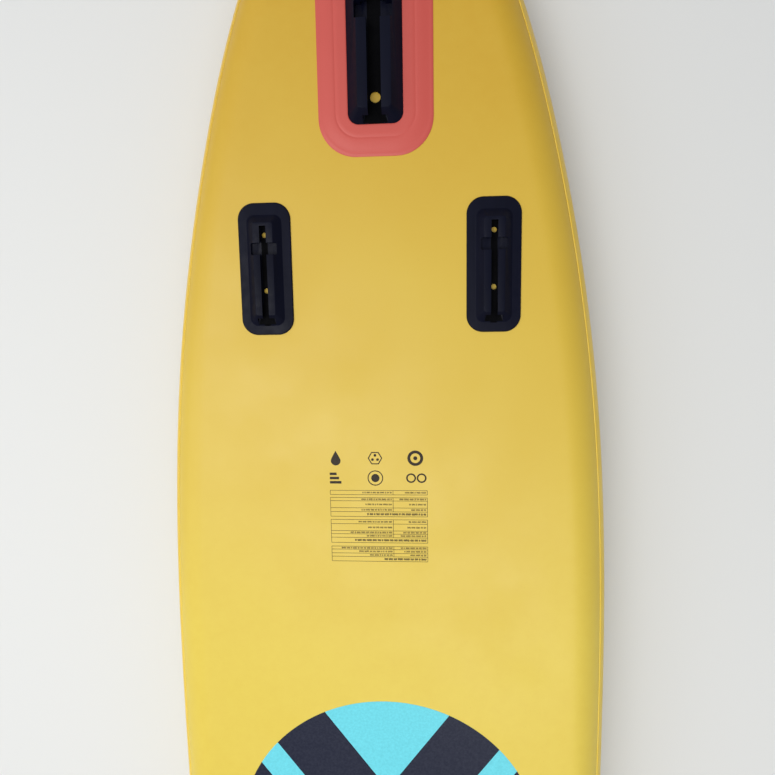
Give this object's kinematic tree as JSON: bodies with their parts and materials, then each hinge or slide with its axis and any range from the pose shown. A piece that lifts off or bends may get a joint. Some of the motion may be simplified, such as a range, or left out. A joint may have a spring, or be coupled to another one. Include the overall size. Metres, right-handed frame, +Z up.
{
  "type": "inflatable board",
  "caption": "Inflatable drop-stitch board, deck down, with slide-in fin boxes, grooved deck pads, carry handle, valve, cargo cord and rings.",
  "frame": {"origin": "centre of the bounding box's bottom face, on the surface that the board lies on, deck down", "axes": "+Y towards the tail, +Z up out of the bottom of the board, +X to the right with the tail ahead"},
  "size_m": [0.8, 3.2024, 0.2284],
  "materials": {
    "bottom_fabric": "satin PVC, yellow",
    "deck_fabric": "satin PVC, yellow",
    "side_fabric": "satin PVC, yellow",
    "rail_fabric": "satin PVC, deeper yellow",
    "coral_fabric": "satin PVC, coral red",
    "fin_box_plastic": "moulded, satin",
    "fitting_plastic": "moulded, satin",
    "valve_white": "moulded, satin",
    "deck_foam": "grooved closed-cell foam, turquoise",
    "webbing": "woven polyester webbing",
    "grip_sleeve": "neoprene sleeve",
    "stitch_thread": "polyester thread",
    "ring_steel": "polished stainless",
    "insert_brass": "turned brass",
    "seal_rubber": "matt rubber",
    "bungee_cord": "braided elastic cord"
  },
  "bodies": {
    "board": {"bottom_skin": "bottom_fabric", "deck_skin": "deck_fabric", "drop_stitch_threads": "stitch_thread", "left_sidewall": "side_fabric", "right_sidewall": "side_fabric", "left_rail_tape": "rail_fabric", "right_rail_tape": "rail_fabric", "nose_seam_patch": "rail_fabric", "tail_seam_patch": "rail_fabric", "left_fin_box": "fin_box_plastic", "right_fin_box": "fin_box_plastic", "centre_fin_box": "fin_box_plastic", "centre_fin_patch": "coral_fabric", "deck_pad_front": "deck_foam", "deck_pad_centre": "deck_foam", "deck_pad_rear": "deck_foam", "kick_pad": "deck_foam", "handle_patches": "coral_fabric", "carry_handle_strap": "webbing", "carry_handle_grip": "grip_sleeve", "mast_base_patch": "coral_fabric", "mast_base": "fitting_plastic", "mast_base_insert": "insert_brass", "tow_ring_patch": "coral_fabric", "tow_ring_loop": "webbing", "leash_ring_patch": "coral_fabric", "leash_ring_loop": "webbing", "valve_body": "fitting_plastic", "valve_gasket": "seal_rubber", "valve_nut": "fitting_plastic", "valve_spring": "ring_steel", "cargo_patches": "coral_fabric", "cargo_posts": "fitting_plastic", "cargo_bungee": "bungee_cord"},
    "tow_ring": {"tow_ring": "ring_steel"},
    "leash_ring": {"leash_ring": "ring_steel"},
    "valve_flap": {"valve_flap": "seal_rubber"},
    "valve_stem": {"valve_stem": "valve_white"},
    "valve_cap_seal": {"valve_cap_seal": "seal_rubber"},
    "valve_cap": {"valve_cap": "fitting_plastic"}
  },
  "joints": [
    {"name": "tow_ring_swing", "type": "hinge", "parent": "board", "child": "tow_ring", "pos_m": [0, -1.43905, 0.17244], "axis": [-1, 0, 0], "range_deg": [0, 165]},
    {"name": "leash_ring_swing", "type": "hinge", "parent": "board", "child": "leash_ring", "pos_m": [0, 1.48266, 0.01859], "axis": [1, 0, 0], "range_deg": [0, 165]},
    {"name": "valve_push", "type": "slide", "parent": "board", "child": "valve_flap", "axis": [0, -0.0242, 0.9997], "range_m": [0, 0.006], "stiffness_N_per_m": 400, "springref_m": -0.004, "deforming": ["valve_spring"]},
    {"name": "valve_lock_turn", "type": "hinge", "parent": "valve_flap", "child": "valve_stem", "pos_m": [0, -0.85063, 0.07731], "axis": [0, 0.0242, -0.9997], "range_deg": [0, 90]},
    {"name": "cap_lift", "type": "slide", "parent": "board", "child": "valve_cap_seal", "axis": [0, 0.0242, -0.9997], "range_m": [0, 0.03]},
    {"name": "cap_turn", "type": "hinge", "parent": "valve_cap_seal", "child": "valve_cap", "pos_m": [0, -0.85063, 0.07731], "axis": [0, 0.0242, -0.9997], "range_deg": [-60, 0]}
  ]
}
